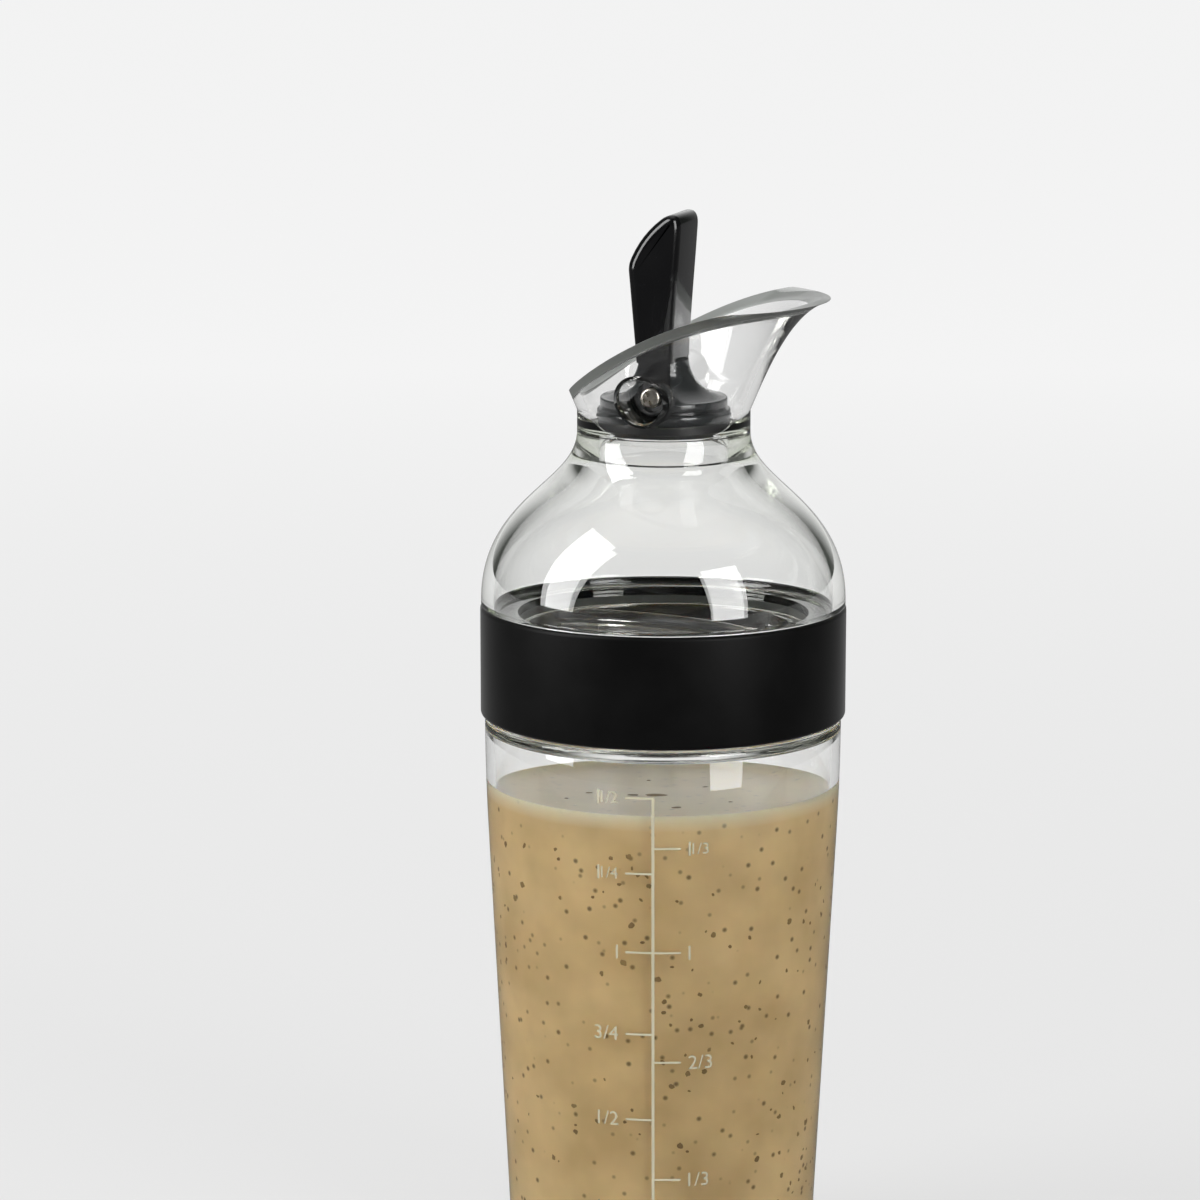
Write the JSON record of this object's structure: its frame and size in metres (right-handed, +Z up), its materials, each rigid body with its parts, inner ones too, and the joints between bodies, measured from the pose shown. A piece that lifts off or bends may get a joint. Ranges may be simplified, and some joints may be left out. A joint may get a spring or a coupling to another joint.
{
  "type": "salad dressing shaker bottle",
  "caption": "Clear shaker bottle with a domed screw lid, soft grip band, flared pouring spout and lever-operated stopper.",
  "frame": {"origin": "centre of the underside of the container, on the bottle's axis", "axes": "+Z up along the bottle's axis, +X towards the pouring lip, the lever's pivot lies along Y"},
  "size_m": [0.077, 0.077, 0.2273],
  "materials": {
    "clear_body": "clear moulded",
    "clear_lid": "clear moulded",
    "clear_spout": "clear moulded",
    "band_rubber": "satin",
    "lid_silicone": "matte",
    "stopper_silicone": "matte",
    "stopper_plastic": "gloss",
    "lever_plastic": "gloss",
    "screw_steel": "polished",
    "dressing": "liquid",
    "marking_ink": "printed"
  },
  "bodies": {
    "container": {"container": "clear_body"},
    "lid": {"lid_dome": "clear_lid", "grip_band": "band_rubber", "spout_collar": "clear_spout"},
    "lid_seal": {"lid_gasket": "lid_silicone"},
    "stopper": {"stopper_stem": "stopper_plastic", "stopper_gasket": "stopper_silicone", "lever": "lever_plastic", "pivot_screws": "screw_steel"}
  },
  "joints": [
    {"name": "lid_rise", "type": "slide", "parent": "container", "child": "lid_seal", "axis": [0, 0, 1], "range_m": [0, 0.0222]},
    {"name": "lid_turn", "type": "hinge", "parent": "lid_seal", "child": "lid", "pos_m": [0, 0, 0.13], "axis": [0, 0, 1], "range_deg": [0, 330]},
    {"name": "stopper_tilt", "type": "hinge", "parent": "lid", "child": "stopper", "pos_m": [0, 0, 0.1902], "axis": [0, -1, 0], "range_deg": [0, 50]}
  ],
  "couplings": [
    {"joint": "lid_rise", "follows": "lid_turn", "m_per_rad": 0.0038197}
  ]
}
